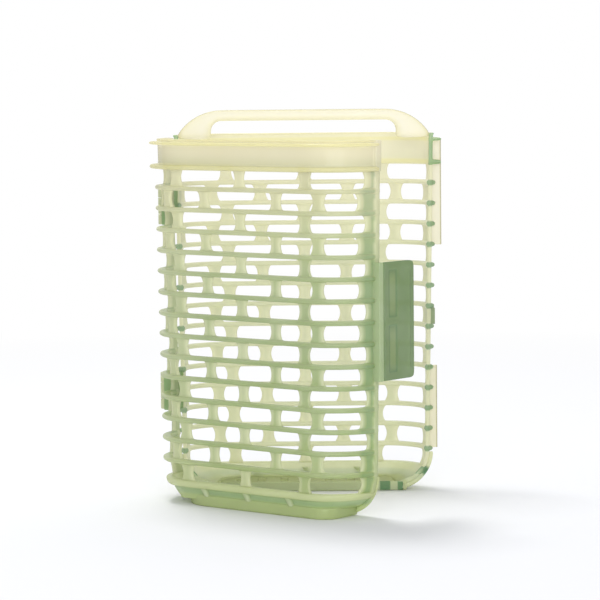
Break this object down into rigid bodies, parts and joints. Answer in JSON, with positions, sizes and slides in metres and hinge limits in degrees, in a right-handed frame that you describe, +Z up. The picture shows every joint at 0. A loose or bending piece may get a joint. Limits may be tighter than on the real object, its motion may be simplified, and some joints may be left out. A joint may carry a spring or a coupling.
{
  "type": "herb keeper",
  "caption": "Slotted standing basket for fresh herbs in two hinged halves, with an arched carrying handle and a side latch tongue.",
  "frame": {"origin": "on the bottom face of the back half's foot, under its foot wall and on the basket's middle line", "axes": "+Z up; +X toward the latch side; +Y toward the back; the parting plane of the back half is parallel to XZ"},
  "size_m": [0.1548, 0.1378, 0.205],
  "materials": {
    "rim_plastic": "translucent pale cream-green polypropylene, satin gloss",
    "lattice_plastic": "translucent pale green polypropylene, satin gloss",
    "base_plastic": "translucent green polypropylene, satin gloss",
    "handle_plastic": "translucent pale cream polypropylene, satin gloss",
    "latch_plastic": "translucent blue-green polypropylene, satin gloss",
    "pin_plastic": "pale moulded plastic"
  },
  "bodies": {
    "back_half": {"back_band": "rim_plastic", "back_grille": "lattice_plastic", "back_left_side": "lattice_plastic", "back_right_side": "lattice_plastic", "back_base": "base_plastic", "back_floor": "base_plastic", "back_skirt": "base_plastic", "carry_handle": "handle_plastic", "latch_catch": "base_plastic", "back_hinge_knuckles": "base_plastic", "upper_hinge_pin": "pin_plastic", "lower_hinge_pin": "pin_plastic"},
    "front_half": {"front_band": "rim_plastic", "front_grille": "lattice_plastic", "front_left_side": "lattice_plastic", "front_right_side": "lattice_plastic", "front_base": "base_plastic", "front_floor": "base_plastic", "front_skirt": "base_plastic", "front_hinge_knuckles": "base_plastic"},
    "latch": {"latch_tongue": "latch_plastic"}
  },
  "joints": [
    {"name": "front_hinge", "type": "hinge", "parent": "back_half", "child": "front_half", "pos_m": [-0.075, -0.02375, 0.1], "axis": [0, 0, -1], "range_deg": [-38.5, 141.5]},
    {"name": "latch_flex", "type": "hinge", "parent": "front_half", "child": "latch", "pos_m": [0.03946, -0.11454, 0.0994], "axis": [0, 0, -1], "range_deg": [0, 18], "stiffness_Nm_per_rad": 0.05}
  ]
}
